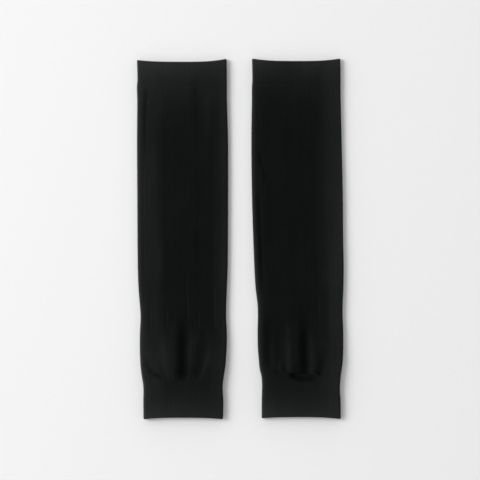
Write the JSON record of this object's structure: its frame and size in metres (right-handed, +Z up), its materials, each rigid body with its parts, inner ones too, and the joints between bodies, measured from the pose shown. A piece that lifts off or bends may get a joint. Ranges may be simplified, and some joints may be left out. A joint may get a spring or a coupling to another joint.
{
  "type": "pair of arm sleeves",
  "caption": "Black seamless knit arm sleeves laid flat side by side, open at both ends, with a turned upper band and a wrist cuff that gathers the tube.",
  "frame": {"origin": "centre of the pair's footprint, on the surface that it lies on", "axes": "+Y along both sleeves from the wrist cuffs to the upper bands, +X across the pair to the right as seen from above with the wrists nearest, +Z up"},
  "size_m": [0.2208, 0.3865, 0.0075],
  "materials": {
    "band_knit": "matt black turned knit band with fine wales",
    "arm_knit": "matt black plain knit with fine wales",
    "cuff_knit": "matt black close knit cuff with fine wales"
  },
  "bodies": {
    "root": {"left_upper_band": "band_knit", "left_arm_tube": "arm_knit", "left_wrist_cuff": "cuff_knit", "right_upper_band": "band_knit", "right_arm_tube": "arm_knit", "right_wrist_cuff": "cuff_knit"}
  },
  "joints": []
}
